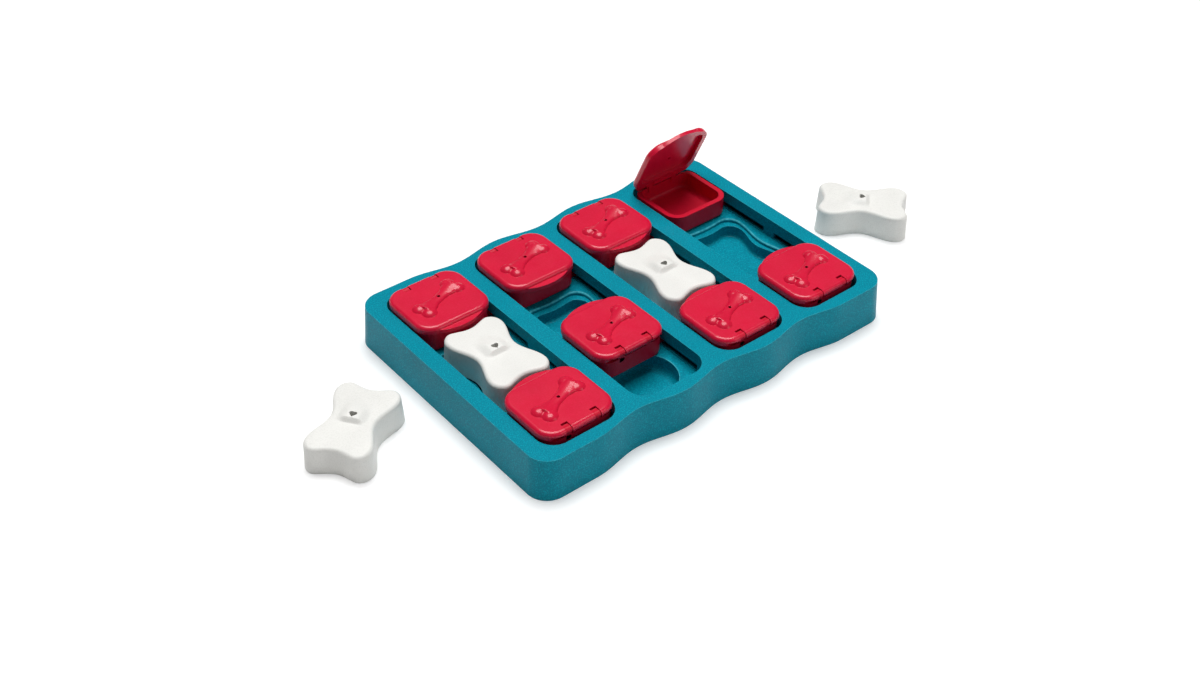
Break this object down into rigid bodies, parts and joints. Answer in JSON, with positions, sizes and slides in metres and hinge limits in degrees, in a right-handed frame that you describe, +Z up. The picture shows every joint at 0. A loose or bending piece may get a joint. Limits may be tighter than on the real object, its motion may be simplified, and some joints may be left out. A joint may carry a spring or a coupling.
{
  "type": "dog puzzle feeder toy",
  "caption": "Wavy-edged tray with channels, sliding treat boxes with hinged lids, and bone-shaped blocks that lift off treat wells.",
  "frame": {"origin": "middle of the plane that the tray rests on", "axes": "+X runs across the channels, +Y along them towards the back boxes, +Z up out of the tray"},
  "size_m": [0.531, 0.2204, 0.0874],
  "materials": {
    "tray": "fine speckled grain, blue-green",
    "box_body": "fine grain, dark red",
    "box_lid": "fine grain with soft highlights, red",
    "bone": "white with fine grey speckles"
  },
  "bodies": {
    "tray": {"tray": "tray", "tray_channel_1": "tray", "tray_channel_2": "tray", "tray_channel_3": "tray", "tray_channel_4": "tray", "round_cup_1_front": "tray", "round_cup_1_back": "tray", "round_cup_2_front": "tray", "round_cup_2_back": "tray", "round_cup_3_front": "tray", "round_cup_3_back": "tray", "round_cup_4_front": "tray", "round_cup_4_back": "tray", "bone_cup_1": "tray", "bone_cup_2": "tray", "bone_cup_3": "tray", "bone_cup_4": "tray"},
    "box_body_1_front": {"box_body_1_front": "box_body"},
    "box_body_1_back": {"box_body_1_back": "box_body"},
    "box_body_2_front": {"box_body_2_front": "box_body"},
    "box_body_2_back": {"box_body_2_back": "box_body"},
    "box_body_3_front": {"box_body_3_front": "box_body"},
    "box_body_3_back": {"box_body_3_back": "box_body"},
    "box_body_4_front": {"box_body_4_front": "box_body"},
    "box_body_4_back": {"box_body_4_back": "box_body"},
    "box_lid_1_front": {"box_lid_1_front": "box_lid"},
    "box_lid_1_back": {"box_lid_1_back": "box_lid"},
    "box_lid_2_front": {"box_lid_2_front": "box_lid"},
    "box_lid_2_back": {"box_lid_2_back": "box_lid"},
    "box_lid_3_front": {"box_lid_3_front": "box_lid"},
    "box_lid_3_back": {"box_lid_3_back": "box_lid"},
    "box_lid_4_front": {"box_lid_4_front": "box_lid"},
    "box_lid_4_back": {"box_lid_4_back": "box_lid"},
    "bone_1": {"bone_1": "bone", "bone_side_1": "bone"},
    "bone_2": {"bone_2": "bone", "bone_side_2": "bone"},
    "bone_3": {"bone_3": "bone", "bone_side_3": "bone"},
    "bone_4": {"bone_4": "bone", "bone_side_4": "bone"}
  },
  "joints": [
    {"name": "box_1_front_slide", "type": "slide", "parent": "tray", "child": "box_body_1_front", "axis": [0, 1, 0], "range_m": [0, 0.0015]},
    {"name": "box_1_back_slide", "type": "slide", "parent": "tray", "child": "box_body_1_back", "axis": [0, 1, 0], "range_m": [-0.0015, 0]},
    {"name": "box_2_front_slide", "type": "slide", "parent": "tray", "child": "box_body_2_front", "axis": [0, 1, 0], "range_m": [-0.0379, 0.007]},
    {"name": "box_2_back_slide", "type": "slide", "parent": "tray", "child": "box_body_2_back", "axis": [0, 1, 0], "range_m": [-0.0335, 0]},
    {"name": "box_3_front_slide", "type": "slide", "parent": "tray", "child": "box_body_3_front", "axis": [0, 1, 0], "range_m": [0, 0.0015]},
    {"name": "box_3_back_slide", "type": "slide", "parent": "tray", "child": "box_body_3_back", "axis": [0, 1, 0], "range_m": [-0.0015, 0]},
    {"name": "box_4_front_slide", "type": "slide", "parent": "tray", "child": "box_body_4_front", "axis": [0, 1, 0], "range_m": [0, 0.045]},
    {"name": "box_4_back_slide", "type": "slide", "parent": "tray", "child": "box_body_4_back", "axis": [0, 1, 0], "range_m": [-0.045, 0]},
    {"name": "lid_1_front_hinge", "type": "hinge", "parent": "box_body_1_front", "child": "box_lid_1_front", "pos_m": [-0.114, -0.0926, 0.0355], "axis": [1, 0, 0], "range_deg": [0, 110]},
    {"name": "lid_1_back_hinge", "type": "hinge", "parent": "box_body_1_back", "child": "box_lid_1_back", "pos_m": [-0.114, 0.0926, 0.0355], "axis": [-1, 0, 0], "range_deg": [0, 110]},
    {"name": "lid_2_front_hinge", "type": "hinge", "parent": "box_body_2_front", "child": "box_lid_2_front", "pos_m": [-0.038, -0.0547, 0.0355], "axis": [1, 0, 0], "range_deg": [0, 110]},
    {"name": "lid_2_back_hinge", "type": "hinge", "parent": "box_body_2_back", "child": "box_lid_2_back", "pos_m": [-0.038, 0.0926, 0.0355], "axis": [-1, 0, 0], "range_deg": [0, 110]},
    {"name": "lid_3_front_hinge", "type": "hinge", "parent": "box_body_3_front", "child": "box_lid_3_front", "pos_m": [0.038, -0.0926, 0.0355], "axis": [1, 0, 0], "range_deg": [0, 110]},
    {"name": "lid_3_back_hinge", "type": "hinge", "parent": "box_body_3_back", "child": "box_lid_3_back", "pos_m": [0.038, 0.0926, 0.0355], "axis": [-1, 0, 0], "range_deg": [0, 110]},
    {"name": "lid_4_front_hinge", "type": "hinge", "parent": "box_body_4_front", "child": "box_lid_4_front", "pos_m": [0.114, -0.0926, 0.0355], "axis": [1, 0, 0], "range_deg": [0, 110]},
    {"name": "lid_4_back_hinge", "type": "hinge", "parent": "box_body_4_back", "child": "box_lid_4_back", "pos_m": [0.114, 0.0926, 0.0355], "axis": [-1, 0, 0], "range_deg": [-66, 44]},
    {"name": "bone_1_lift", "type": "slide", "parent": "tray", "child": "bone_1", "axis": [0, 0, 1], "range_m": [0, 0.06]},
    {"name": "bone_2_lift", "type": "slide", "parent": "tray", "child": "bone_2", "axis": [0, 0, 1], "range_m": [0, 0.06]},
    {"name": "bone_3_lift", "type": "slide", "parent": "tray", "child": "bone_3", "axis": [0, 0, 1], "range_m": [0, 0.06]},
    {"name": "bone_4_lift", "type": "slide", "parent": "tray", "child": "bone_4", "axis": [0, 0, 1], "range_m": [0, 0.06]}
  ]
}
